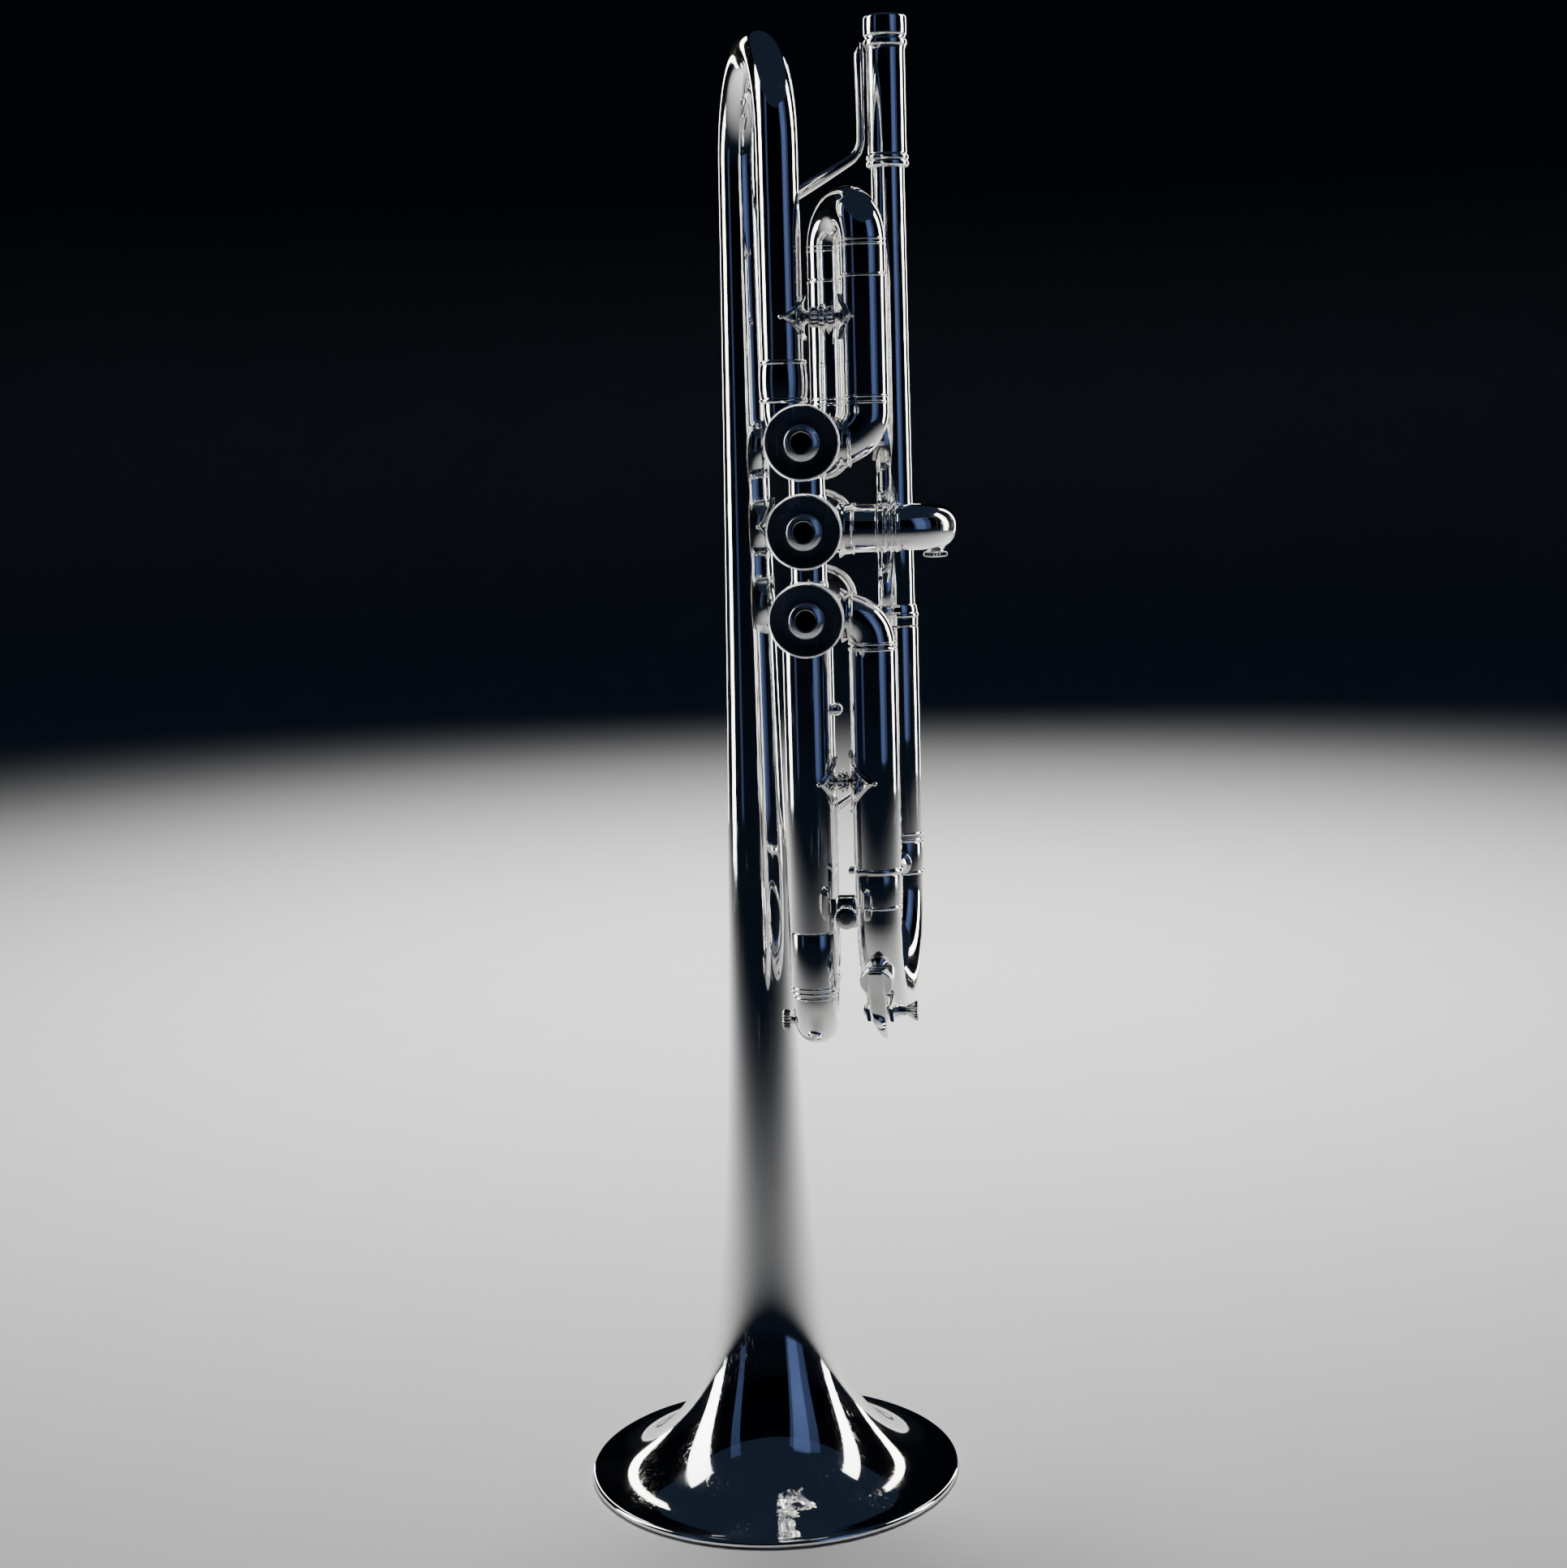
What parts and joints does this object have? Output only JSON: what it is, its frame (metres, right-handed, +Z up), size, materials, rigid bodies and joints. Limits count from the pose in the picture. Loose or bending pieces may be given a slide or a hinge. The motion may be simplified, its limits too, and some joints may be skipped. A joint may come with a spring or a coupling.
{
  "type": "trumpet",
  "caption": "Silver-plated piston-valve trumpet with flared bell, leadpipe, tuning and valve slides and a water key, standing on its bell rim.",
  "frame": {"origin": "centre of the bounding box's bottom, on the plane that the bell rim rests on", "axes": "+Z up along the instrument's length from the bell rim to the mouthpiece receiver; +Y along the valves from the bottom caps to the finger buttons; +X from the bell to the leadpipe"},
  "size_m": [0.127, 0.1496, 0.47],
  "materials": {
    "silver_plate": "polished silver plate on brass",
    "nickel_alloy": "lapped nickel alloy",
    "spring_steel": "bare wire",
    "cork": "natural cork"
  },
  "bodies": {
    "trumpet_body": {"bell": "silver_plate", "bell_bow": "silver_plate", "bell_tail_ferrule": "silver_plate", "bell_tail_elbow": "silver_plate", "mouthpiece_receiver": "silver_plate", "leadpipe": "silver_plate", "leadpipe_ferrule": "silver_plate", "finger_hook": "silver_plate", "tuning_outer_tube_lower": "silver_plate", "tuning_outer_tube_upper": "silver_plate", "third_valve_knuckle": "silver_plate", "valve_casing_1": "silver_plate", "top_cap_1": "silver_plate", "bottom_cap_1": "silver_plate", "valve_guide_1": "nickel_alloy", "valve_spring_1": "spring_steel", "valve_casing_2": "silver_plate", "top_cap_2": "silver_plate", "bottom_cap_2": "silver_plate", "valve_guide_2": "nickel_alloy", "valve_spring_2": "spring_steel", "valve_casing_3": "silver_plate", "top_cap_3": "silver_plate", "bottom_cap_3": "silver_plate", "valve_guide_3": "nickel_alloy", "valve_spring_3": "spring_steel", "crossover_tube_12": "silver_plate", "crossover_tube_23": "silver_plate", "first_slide_outer_lower": "silver_plate", "first_slide_outer_upper": "silver_plate", "second_slide_outer_lower": "silver_plate", "second_slide_outer_upper": "silver_plate", "third_slide_outer_lower": "silver_plate", "third_slide_outer_upper": "silver_plate", "rear_brace": "silver_plate", "front_brace": "silver_plate", "bell_slide_brace": "silver_plate", "slide_tube_brace": "silver_plate", "bell_valve_brace": "silver_plate", "leadpipe_valve_brace": "silver_plate", "lyre_holder": "silver_plate"},
    "valve_1": {"piston_1": "nickel_alloy", "finger_button_1": "silver_plate"},
    "valve_2": {"piston_2": "nickel_alloy", "finger_button_2": "silver_plate"},
    "valve_3": {"piston_3": "nickel_alloy", "finger_button_3": "silver_plate"},
    "first_slide": {"first_slide_crook": "silver_plate", "first_slide_thumb_saddle": "silver_plate"},
    "second_slide": {"second_slide_crook": "silver_plate"},
    "third_slide": {"third_slide_sleeves": "silver_plate", "third_slide_ring": "silver_plate"},
    "third_slide_dump": {"third_slide_dump_crook": "silver_plate"},
    "tuning_slide": {"tuning_slide_crook": "silver_plate", "tuning_slide_brace": "silver_plate", "water_key_saddle": "silver_plate", "water_key_screw": "silver_plate"},
    "water_key": {"water_key_lever": "silver_plate", "water_key_cork": "cork"},
    "lyre_thumb_screw": {"lyre_screw": "silver_plate"}
  },
  "joints": [
    {"name": "valve_1_press", "type": "slide", "parent": "trumpet_body", "child": "valve_1", "axis": [0, -1, 0], "range_m": [0, 0.016], "stiffness_N_per_m": 80, "springref_m": -0.02, "deforming": ["valve_spring_1"]},
    {"name": "valve_2_press", "type": "slide", "parent": "trumpet_body", "child": "valve_2", "axis": [0, -1, 0], "range_m": [0, 0.016], "stiffness_N_per_m": 80, "springref_m": -0.02, "deforming": ["valve_spring_2"]},
    {"name": "valve_3_press", "type": "slide", "parent": "trumpet_body", "child": "valve_3", "axis": [0, -1, 0], "range_m": [0, 0.016], "stiffness_N_per_m": 80, "springref_m": -0.02, "deforming": ["valve_spring_3"]},
    {"name": "first_slide_pull", "type": "slide", "parent": "trumpet_body", "child": "first_slide", "axis": [0, 0, 1], "range_m": [0, 0.02]},
    {"name": "second_slide_pull", "type": "slide", "parent": "trumpet_body", "child": "second_slide", "axis": [1, 0, 0], "range_m": [0, 0.007]},
    {"name": "third_slide_pull", "type": "slide", "parent": "trumpet_body", "child": "third_slide", "axis": [0, 0, -1], "range_m": [0, 0.03]},
    {"name": "third_dump_pull", "type": "slide", "parent": "third_slide", "child": "third_slide_dump", "axis": [0, 0, -1], "range_m": [0, 0.009]},
    {"name": "tuning_slide_pull", "type": "slide", "parent": "trumpet_body", "child": "tuning_slide", "axis": [0, 0, -1], "range_m": [0, 0.04]},
    {"name": "water_key_lift", "type": "hinge", "parent": "tuning_slide", "child": "water_key", "pos_m": [0.03817, -0.05154, 0.17137], "axis": [0.9942, -0.1077, 0], "range_deg": [0, 13], "stiffness_Nm_per_rad": 0.12, "springref_deg": -20.05},
    {"name": "lyre_screw_turn", "type": "hinge", "parent": "trumpet_body", "child": "lyre_thumb_screw", "pos_m": [0.02911, -0.0652, 0.202], "axis": [0, -1, 0], "range_deg": [0, 720]}
  ]
}
